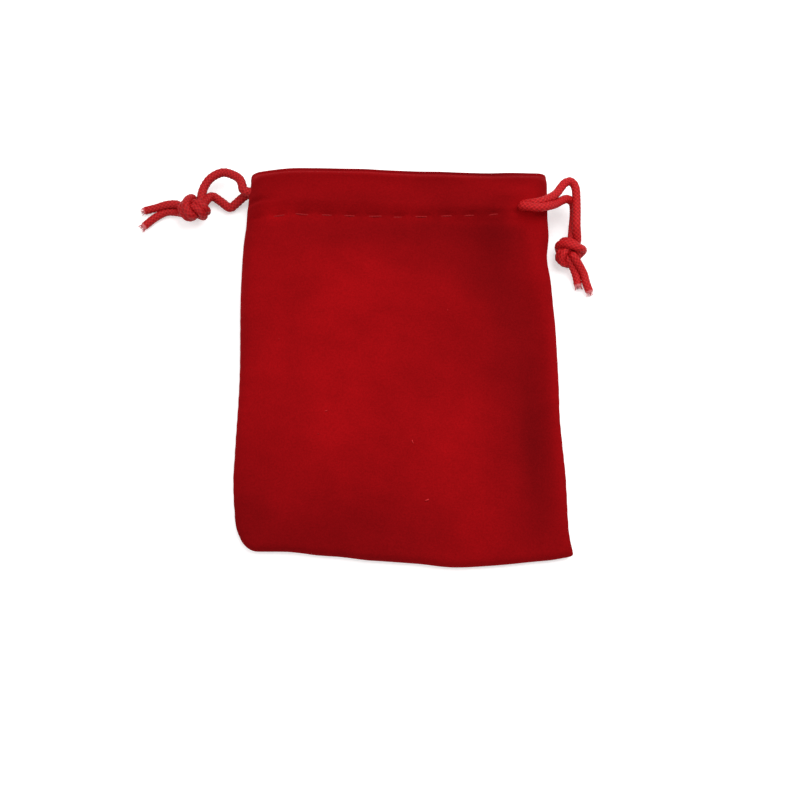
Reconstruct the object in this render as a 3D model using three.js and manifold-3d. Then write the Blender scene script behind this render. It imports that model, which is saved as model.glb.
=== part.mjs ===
// Velvet drawstring pouch lying on its back: front panel up, mouth towards +Y, width along X.
// One strip of velvet is folded across the bottom, sewn up both sides and turned in at the mouth,
// where one row of stitching closes a casing. Two drawstrings run all the way round inside the
// casing. Each leaves it on its own side, where its two ends are knotted together.
import * as THREE from "three";
import { mergeVertices } from "three/addons/utils/BufferGeometryUtils.js";
import Module from "manifold-3d";

const wasm = await Module();
wasm.setup();
const { smoothstep, lerp } = THREE.MathUtils;

// Bag, in millimetres
const BAG_WIDTH = 73.4; // across the bottom corners
const BAG_LENGTH = 91.8; // lowest point of the bottom fold to the mouth edge
const CLOTH = 0.8; // one ply of velvet, pile included
const SEAM_ALLOWANCE = 5; // cloth turned inside along each side seam
const HEM_DEPTH = 12.4; // mouth edge down to the row of stitching
const BELLY_OPENING = 6.4; // how far the front panel stands clear of the back one, halfway up
const NECK_OPENING = 5.2; // the same just under the stitching, besides what the casing lifts there
const MOUTH_OPENING = 4.6; // the same between the two hems of the casing
const NECK_LIFT = 0.6; // share of the casing's thickness that the side edges have just under it
const LEFT_CORNER_WIDTH = 5.8; // the lower left corner is rounded
const LEFT_CORNER_HEIGHT = 12;
const RIGHT_CORNER_RADIUS = 0.8; // the lower right one is sharp
const DOME_SKEW = -0.35; // the front panel stands highest a little left of the middle

// Drawstrings
const CORD_DIAMETER = 2;
const CORD_CLEARANCE = 0.3; // free space round a cord
const LEFT_LANE = 7.5; // height of the left drawstring above the row of stitching
const RIGHT_LANE = 3.4; // height of the right drawstring above the row of stitching
const RIGHT_EXIT_INSET = 6.6; // the right drawstring leaves through the front, this far from the side
const KNOT_CORE = 3; // radius of the knot under its wraps
const KNOT_WRAP = 0.95; // half the thickness of a wrap
const KNOT_FLATNESS = 0.86; // height of the knot to its width
const CORD_SIDES = 8;
const CORD_STEPS = 96;
const TAIL_STEPS = 6;

// Values that follow from those above
const CHANNEL_DEPTH = CORD_DIAMETER + 2 * CORD_CLEARANCE;
const CASING_WALL = 2 * CLOTH + CHANNEL_DEPTH;
const SEAM_EDGE = 4 * CLOTH; // two panels and their turned-in allowances
const STITCH_ROW = BAG_LENGTH - HEM_DEPTH; // distance from the bottom fold
const HEM_END = CASING_WALL + CLOTH; // where the mouth slit ends, in from the side
const CAVITY_FLOOR = 2 * CLOTH;

// Side edges: how far each is drawn in from the full width, at shares of the length from the bottom
const LEFT_SIDE = [[0, 0], [0.25, 0.05], [0.45, 0.4], [0.68, 0.1], [0.86, 1], [1, 2.2]];
const RIGHT_SIDE = [
  [0, -0.14], [0.06, 0.6], [0.2, 0.9], [0.5, 1.8], [0.63, 2.1], [0.77, 3.2], [0.84, 2.9], [0.9, 3.2], [1, 3.1],
];
// Bottom fold: how far it stands above its lowest point, at places from the left (-1) to the right (1)
const BOTTOM_FOLD = [[-1, 3.4], [-0.6, 2.8], [-0.2, 1.3], [0.2, 0.2], [0.42, 0], [0.75, 1], [1, 2.3]];
// Mouth edge: how far it hangs back from the full length
const MOUTH_EDGE = [[-1, 0.1], [-0.7, 0.1], [-0.35, 0.95], [0, 1.6], [0.45, 1.5], [0.8, 0.6], [1, 0]];

// Soft hollows of the front panel: place across (-1 to 1) and along (0 to 1), heading from +X in degrees,
// half length, half width and depth. A negative depth is a ridge.
const HOLLOWS = [
  { across: 0.62, along: 0.73, heading: -58, long: 15, wide: 5, depth: 1.7 },
  { across: 0.84, along: 0.4, heading: -88, long: 20, wide: 3.6, depth: 1.1 },
  { across: 0.9, along: 0.76, heading: -86, long: 10, wide: 2.6, depth: -0.7 },
  { across: -0.7, along: 0.53, heading: 88, long: 10, wide: 3, depth: 0.7 },
  { across: -0.05, along: 0.06, heading: 10, long: 8, wide: 5, depth: 0.9 },
  { across: 0.3, along: 0.14, heading: 60, long: 12, wide: 5, depth: -0.8 },
  { across: -0.15, along: 0.86, heading: 2, long: 12, wide: 3, depth: 0.5 },
];

// Smoothness of the mesh
const ACROSS = 26; // cells across each panel
const EDGE_ROWS = 4;
const CORNER_ROWS = 4;
const BODY_ROWS = 14;
const CASING_ROWS = 10;
const FOLD_ROWS = 3;

// Smooth curve through [place, value] stops in rising order of place.
function along(stops, place) {
  let i = 0;
  while (i < stops.length - 2 && place > stops[i + 1][0]) i++;
  const [a, b] = [stops[i], stops[i + 1]];
  const before = stops[i - 1] ?? a;
  const after = stops[i + 2] ?? b;
  const span = b[0] - a[0];
  const slopeA = ((b[1] - before[1]) / (b[0] - before[0])) * span;
  const slopeB = ((after[1] - a[1]) / (after[0] - a[0])) * span;
  const t = (place - a[0]) / span;
  const rise = t * t * (3 - 2 * t);
  return lerp(a[1], b[1], rise) + t * (1 - t) * ((1 - t) * slopeA - t * slopeB);
}

// Quarter-round: 0 at an edge, 1 once `reach` away from it.
function roundOver(distance, reach) {
  const t = Math.min(Math.max(1 - distance / reach, 0), 1);
  return Math.sqrt(1 - t * t);
}

// Plan: `u` runs from the left side (-1) to the right side (1), `d` is the distance up from the bottom fold.
function leftX(d) {
  const corner = LEFT_CORNER_WIDTH * (1 - roundOver(d, LEFT_CORNER_HEIGHT));
  return -BAG_WIDTH / 2 + along(LEFT_SIDE, d / BAG_LENGTH) + corner;
}

function rightX(d) {
  const corner = RIGHT_CORNER_RADIUS * (1 - roundOver(d, RIGHT_CORNER_RADIUS));
  return BAG_WIDTH / 2 - along(RIGHT_SIDE, d / BAG_LENGTH) - corner;
}

function planX(u, d) {
  return lerp(leftX(d), rightX(d), (u + 1) / 2);
}

function planY(u, d) {
  const bottom = along(BOTTOM_FOLD, u);
  const mouth = BAG_LENGTH - along(MOUTH_EDGE, u);
  return lerp(bottom, mouth, d / BAG_LENGTH) - BAG_LENGTH / 2;
}

// How full the cord channel is at `d`: 0 below the stitching, 1 at the cords, little at the mouth fold.
function channelShare(d) {
  const height = d - STITCH_ROW;
  const laneTop = LEFT_LANE + CHANNEL_DEPTH / 2;
  const open = smoothstep(height, 0.2, RIGHT_LANE - 0.8);
  return open * (1 - 0.8 * smoothstep(height, laneTop, HEM_DEPTH));
}

// Thickness of one side of the bag: one ply, two where the hem is turned in, with the channel between.
function wall(d) {
  const hem = smoothstep(d, STITCH_ROW - 2.5, STITCH_ROW - 0.5);
  return CLOTH * (1 + hem) + CHANNEL_DEPTH * channelShare(d);
}

// Thickness of the closed side edges, which the stiff casing lifts for some way below it.
function sideEdge(d) {
  const height = d - STITCH_ROW;
  const laneTop = LEFT_LANE + CHANNEL_DEPTH / 2;
  const neck = NECK_LIFT * smoothstep(d, 0.3 * BAG_LENGTH, STITCH_ROW);
  const casing = (1 - NECK_LIFT) * smoothstep(height, -1, RIGHT_LANE - 0.6);
  return SEAM_EDGE + 2 * CHANNEL_DEPTH * (neck + casing) * (1 - 0.8 * smoothstep(height, laneTop, HEM_DEPTH));
}

// Height that the panels stand apart at the top of the dome.
function opening(d) {
  return along(
    [
      [0, 0],
      [0.06 * BAG_LENGTH, 0.2 * BELLY_OPENING],
      [0.28 * BAG_LENGTH, 0.85 * BELLY_OPENING],
      [0.5 * BAG_LENGTH, BELLY_OPENING],
      [STITCH_ROW - 1, NECK_OPENING],
      [STITCH_ROW + RIGHT_LANE - 1, MOUTH_OPENING],
      [STITCH_ROW + LEFT_LANE, MOUTH_OPENING],
      [BAG_LENGTH, MOUTH_OPENING + CASING_WALL - wall(BAG_LENGTH)],
    ],
    d,
  );
}

function hollow(u, d) {
  const x = planX(u, d);
  const y = planY(u, d);
  let depth = 0;
  for (const h of HOLLOWS) {
    const turn = THREE.MathUtils.degToRad(h.heading);
    const dx = x - planX(h.across, h.along * BAG_LENGTH);
    const dy = y - planY(h.across, h.along * BAG_LENGTH);
    const lengthwise = (dx * Math.cos(turn) + dy * Math.sin(turn)) / h.long;
    const sideways = (dy * Math.cos(turn) - dx * Math.sin(turn)) / h.wide;
    depth += h.depth * Math.exp(-lengthwise * lengthwise - sideways * sideways);
  }
  const inside = smoothstep(1 - Math.abs(u), 0, 0.14) * smoothstep(d, 0, 6);
  return depth * inside * (1 - smoothstep(d, STITCH_ROW - 3, STITCH_ROW + 2));
}

// Overall thickness of the bag before its edges are rounded.
function thickness(u, d) {
  const dome = (1 - u * u) * (1 + DOME_SKEW * u);
  return sideEdge(d) + opening(d) * dome - hollow(u, d);
}

function outerPoint(u, d, front) {
  const half = sideEdge(d) / 2;
  const fromSide = ((1 - Math.abs(u)) * (rightX(d) - leftX(d))) / 2;
  const lift = half * (1 - roundOver(fromSide, half) * roundOver(d, SEAM_EDGE / 2));
  const z = front ? thickness(u, d) - lift : lift;
  return new THREE.Vector3(planX(u, d), planY(u, d), z);
}

// Inner face: the pocket below the casing and the slit between the two hems.
function innerPoint(u, d, front) {
  const inset = lerp(SEAM_ALLOWANCE, HEM_END, smoothstep(d, STITCH_ROW - 6, STITCH_ROW));
  const width = rightX(d) - leftX(d);
  const inward = (u * (width - 2 * inset)) / width;
  const gap = thickness(inward, d) - 2 * wall(d);
  const fromSide = ((1 - Math.abs(u)) * (width - 2 * inset)) / 2;
  const round = roundOver(fromSide, CLOTH) * roundOver(d - CAVITY_FLOOR, CLOTH);
  const middle = thickness(inward, d) / 2;
  const z = middle + ((front ? 1 : -1) * gap * round) / 2;
  return new THREE.Vector3(planX(inward, d), planY(inward, d), z);
}

// Closed ring round the bag: along the back from left to right, then along the front from right to left.
function ring(point, d) {
  return Array.from({ length: 2 * ACROSS }, (_, k) => {
    const front = k >= ACROSS;
    const share = (k % ACROSS) / ACROSS;
    const u = Math.sin((Math.PI / 2) * (front ? 1 - 2 * share : 2 * share - 1));
    return point(u, d, front);
  });
}

// Closed surface over rings of equal length. A cyclic loft joins its last ring to its first.
function loft(rings, cyclic) {
  const size = rings[0].length;
  const rows = cyclic ? rings.length : rings.length - 1;
  const index = [];
  for (let j = 0; j < rows; j++) {
    const below = j * size;
    const above = ((j + 1) % rings.length) * size;
    for (let k = 0; k < size; k++) {
      const next = (k + 1) % size;
      index.push(below + k, above + k, above + next);
      index.push(below + k, above + next, below + next);
    }
  }
  const geometry = new THREE.BufferGeometry().setFromPoints(rings.flat());
  geometry.setIndex(index);
  return geometry;
}

function toSolid(geometry) {
  const bare = new THREE.BufferGeometry();
  bare.setAttribute("position", geometry.getAttribute("position"));
  bare.setIndex(geometry.index);
  const merged = mergeVertices(bare, 1e-4);
  return new wasm.Manifold(
    new wasm.Mesh({
      numProp: 3,
      vertProperties: merged.getAttribute("position").array,
      triVerts: new Uint32Array(merged.index.array),
    }),
  );
}

function toGeometry(solid) {
  const mesh = solid.getMesh();
  const geometry = new THREE.BufferGeometry();
  geometry.setAttribute("position", new THREE.BufferAttribute(mesh.vertProperties, 3));
  geometry.setIndex(new THREE.BufferAttribute(mesh.triVerts, 1));
  geometry.computeVertexNormals();
  return geometry;
}

function spread(from, to, count) {
  return Array.from({ length: count }, (_, i) => lerp(from, to, i / count));
}

// Shell of the bag: up the outside, over the mouth fold and down the inside to the pocket's floor.
function bagShell() {
  const foldRadius = wall(BAG_LENGTH) / 2;
  const top = BAG_LENGTH - foldRadius;
  const casingFoot = STITCH_ROW - 3;
  const quarter = spread(0, Math.PI / 2, EDGE_ROWS).map((angle) => 1 - Math.cos(angle));
  const casingRows = spread(casingFoot, top, CASING_ROWS);
  const outside = [
    ...quarter.map((share) => (share * SEAM_EDGE) / 2),
    ...spread(SEAM_EDGE / 2, LEFT_CORNER_HEIGHT, CORNER_ROWS),
    ...spread(LEFT_CORNER_HEIGHT, casingFoot, BODY_ROWS),
    ...casingRows,
  ];
  const inside = [
    ...quarter.map((share) => CAVITY_FLOOR + share * CLOTH),
    ...spread(CAVITY_FLOOR + CLOTH, casingFoot, BODY_ROWS),
    ...casingRows,
  ];
  const outerTop = ring(outerPoint, top);
  const innerTop = ring(innerPoint, top);
  const angles = spread(0, Math.PI / 2, FOLD_ROWS);
  const turned = (from, to, angle) =>
    from.map((p, k) => {
      const q = p.clone().lerp(to[k], (1 - Math.cos(angle)) / 2);
      q.y += foldRadius * Math.sin(angle);
      return q;
    });
  return loft([
    ...outside.map((d) => ring(outerPoint, d)),
    ...angles.map((angle) => turned(outerTop, innerTop, angle)),
    turned(outerTop, innerTop, Math.PI / 2),
    ...angles.reverse().map((angle) => turned(innerTop, outerTop, angle)),
    ...inside.reverse().map((d) => ring(innerPoint, d)),
  ]);
}

// Ring at `depth` below the outer face, measured square to the face.
function buriedRing(d, depth) {
  const skin = ring(outerPoint, d);
  return skin.map((p, k) => {
    const before = skin.at(k - 1);
    const after = skin[(k + 1) % skin.length];
    const outward = new THREE.Vector2(after.z - before.z, before.x - after.x).normalize();
    return new THREE.Vector3(p.x - outward.x * depth, p.y, p.z - outward.y * depth);
  });
}

// Space for the cords between the two plies of the casing, all the way round.
function channel() {
  const foot = STITCH_ROW + 0.2;
  const head = STITCH_ROW + LEFT_LANE + CHANNEL_DEPTH;
  const rows = spread(foot, head, 6).concat(head);
  const outerFace = rows.map((d) => buriedRing(d, CLOTH));
  const innerFace = rows.slice(1).reverse().map((d) => buriedRing(d, wall(d) - CLOTH));
  return loft([...outerFace, ...innerFace], true);
}

function box(from, to) {
  const size = new THREE.Vector3().subVectors(to, from);
  const centre = from.clone().add(to).multiplyScalar(0.5);
  return new THREE.BoxGeometry(size.x, size.y, size.z).translate(centre.x, centre.y, centre.z);
}

// Where each drawstring leaves the casing: the left one through the end, the right one through the front.
const leftExitRow = STITCH_ROW + LEFT_LANE;
const leftExit = outerPoint(-1, leftExitRow, true);
const rightExitRow = STITCH_ROW + RIGHT_LANE;
const rightExitWidth = rightX(rightExitRow) - leftX(rightExitRow);
const rightExit = outerPoint(1 - (2 * RIGHT_EXIT_INSET) / rightExitWidth, rightExitRow, true);

// Slit left in the side seam, as tall as the casing is thick.
function leftSlit() {
  const half = CORD_DIAMETER / 2 + 2 * CORD_CLEARANCE;
  const tall = sideEdge(leftExitRow) / 2 - CLOTH;
  return box(
    new THREE.Vector3(leftExit.x - 2, leftExit.y - half, leftExit.z - tall),
    new THREE.Vector3(leftExit.x + CASING_WALL - CLOTH, leftExit.y + half, leftExit.z + tall),
  );
}

// Slit in the front ply, wide enough for both strands side by side.
function rightSlit() {
  const half = CORD_DIAMETER + 2 * CORD_CLEARANCE;
  const middle = rightExit.y - CORD_DIAMETER / 2;
  const deep = (CASING_WALL + CLOTH) / 2;
  return box(
    new THREE.Vector3(rightExit.x - 1.7 * CORD_DIAMETER, middle - half, rightExit.z - deep),
    new THREE.Vector3(rightExit.x + 2.5 * CORD_DIAMETER, middle + half, rightExit.z + deep),
  );
}

// Cord routes. Points inside the casing follow the channel. Points outside are offsets across and along
// from the exit, with heights above the table.
const LEFT_UPPER = [
  [-11.6, 0.7, 3.4], [-11, 2.2, 3.3], [-9.4, 4.6, 3.5], [-6.6, 5.5, 4], [-3.9, 4.3, 4.6], [-2.2, 2.1, 5.1],
  [-1.3, 0.6, 5.4],
];
const LEFT_LOWER = [
  [-1.5, 0, 2.9], [-2.8, -0.7, 2], [-4.8, -1.8, 1.3], [-7.2, -0.4, 1.4], [-9.2, -0.2, 2.1],
];
const LEFT_KNOT = [-13, -2.8, 3.45];
const LEFT_KNOT_HEADING = 50; // of the strands that enter it, from +X in degrees
const LEFT_TAIL_UPPER = [[-16.9, -1.8, 3.1], [-21, -2.1, 1.6], [-24.5, -3, 1.3]];
const LEFT_TAIL_LOWER = [[-16.9, -4, 1.5], [-20.4, -4.4, 1.2], [-22.7, -5.9, 1.2], [-24.8, -8, 1.2]];
const RIGHT_FRONT = [
  [12.8, -6, 4.1], [13.1, -3.5, 4.6], [13.3, -0.3, 5.1], [13.4, 3.1, 5.5], [13.1, 5.4, 5.9],
  [11.7, 6.4, 6.6], [10.1, 4.9, 7.6], [8.3, 2.2, 9.2],
];
const RIGHT_BACK = [
  [8.3, -0.6, 9.4], [10.3, 1.2, 7.2], [11.8, 1.4, 5], [12.2, 0, 3.3], [12.2, -3, 2.3], [12, -5.7, 2.2],
];
const RIGHT_KNOT = [12.1, -9.7, 3.45];
const RIGHT_KNOT_HEADING = 85;
const RIGHT_TAIL_INNER = [[11.7, -13.3, 2.4], [12.6, -15.3, 1.5], [13.5, -17.4, 1.25]];
const RIGHT_TAIL_OUTER = [[14, -13, 2.7], [15.2, -15.9, 1.5], [16.2, -18.9, 1.25]];
// Through the right slit, as offsets from the cloth there: one strand climbs out, the other doubles back.
const SLIT_CLIMB = [[6.2, 0.4, 0.9], [4, 0.25, 1.15], [2, 0.15, 0.6], [-0.2, 0.2, -0.6], [-2.4, 0.2, -1.6]];
const SLIT_TURN = [
  [2.4, -0.6, -2.15], [0.6, -1.4, -1.65], [-0.9, -1.95, -0.6], [-1.2, -2.2, 0.4],
  [-0.3, -2.25, 1.2], [1.7, -2.2, 1.45], [4.2, -2, 1.35], [6.4, -1.7, 1.15],
];
// Through the left slit, in from the end, with heights from the middle of the casing.
const SLIT_FRONT = [[0, 0.1, 1.3], [2.6, 0, 2.2]];
const SLIT_BACK = [[2.6, 0, -2.05], [0, 0, -1.5]];

const onTable = (exit, points) => points.map(([x, y, z]) => new THREE.Vector3(exit.x + x, exit.y + y, z));
const fromExit = (exit, points) =>
  points.map(([x, y, z]) => new THREE.Vector3(exit.x + x, exit.y + y, exit.z + z));

// Middle of the channel all the way round, in the order of ring().
function lane(height) {
  const d = STITCH_ROW + height;
  return buriedRing(d, wall(d) / 2);
}

function leftRoute() {
  const lap = lane(LEFT_LANE).filter((p, k) => k > 0 && p.x > leftExit.x + 1.3 * CASING_WALL);
  return [
    ...onTable(leftExit, LEFT_UPPER),
    ...fromExit(leftExit, SLIT_FRONT),
    ...lap.reverse(),
    ...fromExit(leftExit, SLIT_BACK),
    ...onTable(leftExit, LEFT_LOWER),
  ];
}

function rightRoute() {
  const lap = lane(RIGHT_LANE);
  const back = lap.slice(0, ACROSS + 1);
  const front = lap.slice(ACROSS + 1);
  return [
    ...onTable(rightExit, RIGHT_FRONT),
    ...fromExit(rightExit, SLIT_CLIMB),
    ...front.filter((p) => p.x < rightExit.x - 3 * CORD_DIAMETER),
    ...back,
    ...front.filter((p) => p.x > rightExit.x + 1.8 * CORD_DIAMETER),
    ...fromExit(rightExit, SLIT_TURN),
    ...onTable(rightExit, RIGHT_BACK),
  ];
}

function cord(points, steps) {
  const corner = (_, i) => {
    const angle = (2 * Math.PI * (i + 0.5)) / CORD_SIDES;
    return new THREE.Vector2(Math.cos(angle), Math.sin(angle)).multiplyScalar(CORD_DIAMETER / 2);
  };
  const section = new THREE.Shape(Array.from({ length: CORD_SIDES }, corner));
  const extrudePath = new THREE.CatmullRomCurve3(points);
  return new THREE.ExtrudeGeometry(section, { steps, extrudePath, bevelEnabled: false });
}

// Overhand knot in both strands: a round core with two wraps side by side across it.
function knot([centre], heading) {
  const turn = THREE.MathUtils.degToRad(heading);
  const core = new THREE.SphereGeometry(KNOT_CORE, 12, 8);
  const place = (geometry) =>
    geometry.scale(1.1, 1, KNOT_FLATNESS).rotateZ(turn).translate(centre.x, centre.y, centre.z);
  const wraps = [-1, 1].map((side) =>
    new THREE.TorusGeometry(KNOT_CORE - 0.2, KNOT_WRAP, 6, 16)
      .rotateY(Math.PI / 2)
      .translate(side * KNOT_WRAP, 0, 0)
      .rotateZ(Math.PI / 7),
  );
  return toGeometry(wraps.reduce((all, wrap) => all.add(toSolid(place(wrap))), toSolid(place(core))));
}

const bag = toSolid(bagShell())
  .subtract(toSolid(channel()))
  .subtract(toSolid(leftSlit()))
  .subtract(toSolid(rightSlit()));

const pouch = new THREE.Group();
function add(name, geometry, color) {
  const mesh = new THREE.Mesh(geometry, new THREE.MeshStandardMaterial({ color, roughness: 0.95 }));
  mesh.name = name;
  pouch.add(mesh);
}

const VELVET = 0x8c0a10;
const CORD_RED = 0xb81a20;
add("pouch_body", toGeometry(bag), VELVET);
add("left_drawstring", cord(leftRoute(), CORD_STEPS), CORD_RED);
add("left_knot", knot(onTable(leftExit, [LEFT_KNOT]), LEFT_KNOT_HEADING), CORD_RED);
add("left_tail_upper", cord(onTable(leftExit, LEFT_TAIL_UPPER), TAIL_STEPS), CORD_RED);
add("left_tail_lower", cord(onTable(leftExit, LEFT_TAIL_LOWER), TAIL_STEPS), CORD_RED);
add("right_drawstring", cord(rightRoute(), CORD_STEPS), CORD_RED);
add("right_knot", knot(onTable(rightExit, [RIGHT_KNOT]), RIGHT_KNOT_HEADING), CORD_RED);
add("right_tail_inner", cord(onTable(rightExit, RIGHT_TAIL_INNER), TAIL_STEPS), CORD_RED);
add("right_tail_outer", cord(onTable(rightExit, RIGHT_TAIL_OUTER), TAIL_STEPS), CORD_RED);

export default pouch;
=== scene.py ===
# Velvet drawstring pouch lying on its back, front panel up, mouth towards +Y.
import math

import bpy
import numpy as np
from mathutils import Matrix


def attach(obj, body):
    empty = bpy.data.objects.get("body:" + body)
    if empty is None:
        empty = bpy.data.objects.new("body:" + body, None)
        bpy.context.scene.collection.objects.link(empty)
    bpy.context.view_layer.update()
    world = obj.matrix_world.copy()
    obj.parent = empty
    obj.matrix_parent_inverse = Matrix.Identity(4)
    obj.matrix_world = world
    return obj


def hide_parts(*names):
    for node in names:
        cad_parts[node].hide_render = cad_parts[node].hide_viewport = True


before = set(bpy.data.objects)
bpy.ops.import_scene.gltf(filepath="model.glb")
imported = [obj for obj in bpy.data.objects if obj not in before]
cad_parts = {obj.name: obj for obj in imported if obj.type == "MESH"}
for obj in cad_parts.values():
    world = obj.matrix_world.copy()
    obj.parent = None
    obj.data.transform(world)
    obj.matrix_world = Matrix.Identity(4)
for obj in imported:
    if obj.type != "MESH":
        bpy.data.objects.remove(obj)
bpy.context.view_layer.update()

MM = 0.001

# Sizes of the bag and its drawstrings in millimetres, the same as in the CAD
BAG_WIDTH = 73.4
BAG_LENGTH = 91.8
CLOTH = 0.8
SEAM_ALLOWANCE = 5
HEM_DEPTH = 12.4
BELLY_OPENING = 6.4
NECK_OPENING = 5.2
MOUTH_OPENING = 4.6
NECK_LIFT = 0.6
LEFT_CORNER_WIDTH = 5.8
LEFT_CORNER_HEIGHT = 12
RIGHT_CORNER_RADIUS = 0.8
DOME_SKEW = -0.35
CORD_DIAMETER = 2
CORD_CLEARANCE = 0.3
LEFT_LANE = 7.5
RIGHT_LANE = 3.4
RIGHT_EXIT_INSET = 6.6
CHANNEL_DEPTH = CORD_DIAMETER + 2 * CORD_CLEARANCE
CASING_WALL = 2 * CLOTH + CHANNEL_DEPTH
SEAM_EDGE = 4 * CLOTH
STITCH_ROW = BAG_LENGTH - HEM_DEPTH
HEM_END = CASING_WALL + CLOTH
CAVITY_FLOOR = 2 * CLOTH

# Side edges: how far each is drawn in from the full width, at shares of the length from the bottom
LEFT_SIDE = [[0, 0], [0.25, 0.05], [0.45, 0.4], [0.68, 0.1], [0.86, 1], [1, 2.2]]
RIGHT_SIDE = [
    [0, -0.14], [0.06, 0.6], [0.2, 0.9], [0.5, 1.8], [0.63, 2.1], [0.77, 3.2], [0.84, 2.9], [0.9, 3.2],
    [1, 3.1],
]
# Bottom fold above its lowest point, and mouth edge below the full length, from left (-1) to right (1)
BOTTOM_FOLD = [[-1, 3.4], [-0.6, 2.8], [-0.2, 1.3], [0.2, 0.2], [0.42, 0], [0.75, 1], [1, 2.3]]
MOUTH_EDGE = [[-1, 0.1], [-0.7, 0.1], [-0.35, 0.95], [0, 1.6], [0.45, 1.5], [0.8, 0.6], [1, 0]]
# How far the lip stands above that edge: its corners are pulled up, its middle sags
LIP_RISE = [
    [-1, 0.42], [-0.9, 0.17], [-0.75, -0.1], [-0.4, -0.66], [0, -0.55], [0.3, -0.24], [0.65, 0.15],
    [0.8, 0.28], [0.92, 0.3], [1, 0.45],
]
LIP_REACH = 5  # how far down from the mouth that rise fades out
LIP_FLARE = 0.45  # how far the left end of the lip spreads past the side edge
LIP_FLARE_START, LIP_FLARE_FULL = 3.5, 1  # distances down from the mouth
LIP_CORNER = 0.9  # from the side of the lip to the end of the mouth slit
# How far the soft side edges stand out past those of the solid, at shares of the length from the bottom
LEFT_EASE = [
    [0, 0.35], [0.06, 0.3], [0.1, 0], [0.18, 0.34], [0.25, 0.2], [0.4, 0.06], [0.5, 0], [0.7, -0.05],
    [0.8, 0.12], [0.85, 0],
]
RIGHT_EASE = [
    [0, 0.2], [0.2, 0.22], [0.27, 0], [0.35, -0.2], [0.42, 0], [0.5, 0.05], [0.58, -0.05], [0.64, -0.22],
    [0.71, -0.08], [0.76, -0.32], [0.81, -0.05], [0.87, -0.12], [0.9, 0],
]
# The same for the bottom fold, upwards, at places from the left (-1) to the right (1)
BOTTOM_EASE = [
    [-1, 0], [-0.8, 0.2], [-0.69, 0], [-0.6, -0.23], [-0.44, -0.08], [-0.29, -0.12], [-0.2, 0], [0.05, 0.1],
    [0.22, -0.17], [0.42, 0.12], [0.65, 0.15], [0.77, 0.12], [0.88, -0.07], [1, 0],
]
BOTTOM_EASE_REACH = 10  # how far up from the fold that trim fades out
# How far the sewn row wanders from straight
STITCH_DRIFT = [[-1, -0.5], [-0.5, -0.5], [0, -0.2], [0.3, 0.5], [0.6, 0.9], [0.75, 1.3], [1, 1.3]]
# Place across and along, heading, half length, half width and depth of each soft hollow
HOLLOWS = [
    (0.62, 0.73, -58, 15, 5, 1.7),
    (0.84, 0.4, -88, 20, 3.6, 1.1),
    (0.9, 0.76, -86, 10, 2.6, -0.7),
    (-0.7, 0.53, 88, 10, 3, 0.7),
    (-0.05, 0.06, 10, 8, 5, 0.9),
    (0.3, 0.14, 60, 12, 5, -0.8),
    (-0.15, 0.86, 2, 12, 3, 0.5),
]

# Place across and along, heading, half length, half width and strength of each patch of painted light
# (positive) or painted shade (negative), partly standing for the lie of the pile; some lighten the cords'
# shadow, some darken the lip
PAINTED_LIGHT_PATCHES = [
    (-0.35, 0.55, 90, 42, 17, 0.3),
    (0.6, 0.75, -60, 20, 8, -0.31),
    (0.95, 0.76, -86, 12, 3, 0.3),
    (0.83, 0.3, -88, 20, 4.5, -0.48),
    (0.99, 0.4, -88, 26, 1.6, 0.25),
    (0.3, 0.27, 62, 15, 8, 0.2),
    (-0.4, 0.03, 2, 40, 12, -0.34),
    (0.45, 0.09, 60, 12, 7, 0.35),
    (-0.9, 0.12, 90, 12, 6, -0.15),
    (-1, 0.5, 90, 50, 2, -0.1),
    (-0.96, 0.91, 90, 4, 2.5, -0.16),
    (0.62, 0.5, 90, 12, 4.5, -0.2),
    (0.62, 0.22, 90, 14, 5, -0.12),
    (-0.25, 0.82, 0, 24, 5, -0.36),
    (0.7, 0.82, 0, 7, 5, -0.18),
    (0.12, 0.74, 0, 14, 5, -0.12),
    (0, 0.895, 0, 45, 2.6, 0.06),
    (-0.3, 0.945, 0, 20, 2.6, -0.15),
    (-0.78, 0.868, 0, 4.5, 2.2, 0.32),
    (-0.82, 0.78, 90, 6, 6, 0.15),
    (0.48, 0.79, 0, 6, 5, 0.16),
    (-0.3, 0.897, 0, 20, 2.2, -0.24),
    (0.35, 0.865, 0, 12, 1.4, 0.15),
    (0.68, 0.875, 0, 4.5, 4.5, -0.22),
    (-0.88, 0.345, 90, 12, 5, 0.14),
    (0.47, 0.62, 90, 6, 5, 0.14),
    (0.7, 0.985, 0, 8, 2, -0.25),
    (0.88, 0.868, 0, 6, 2.2, 0.5),
    (0, 0.985, 0, 45, 1.8, -0.12),
    (0, 1.01, 0, 60, 1.3, -0.4),
]

# Cord routes outside the casing: offsets from the exit across and along, and heights above the table.
# In the slits, all three are offsets from the exit.
LEFT_UPPER = [
    (-10.8, 1.8, 3.3), (-9.2, 4.2, 3.6), (-6.5, 5.4, 4), (-4, 4.5, 4.6), (-2.4, 3.2, 5), (-1.75, 1.6, 5.3),
    (-1.5, 0.5, 5.4), (-0.4, -0.1, 5.3),
]
LEFT_LOWER = [
    (-0.9, 0.1, 3), (-2.3, -0.8, 2.6), (-3.5, -1.7, 2), (-4.8, -2.3, 1.4), (-7, -0.7, 1.3), (-9, 0.3, 1.9),
]
LEFT_KNOT = (-12.85, -2.6)
LEFT_TAIL_UPPER = [(-16.7, -2.1, 2.5), (-19.2, -2, 2.4), (-21.8, -2.6, 1.9), (-24.7, -3.1, 1.3)]
LEFT_TAIL_LOWER = [(-16.9, -3.5, 1.5), (-19.3, -3.3, 1.25), (-21.7, -4.5, 1.2), (-24.7, -7.1, 1.2)]
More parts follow.
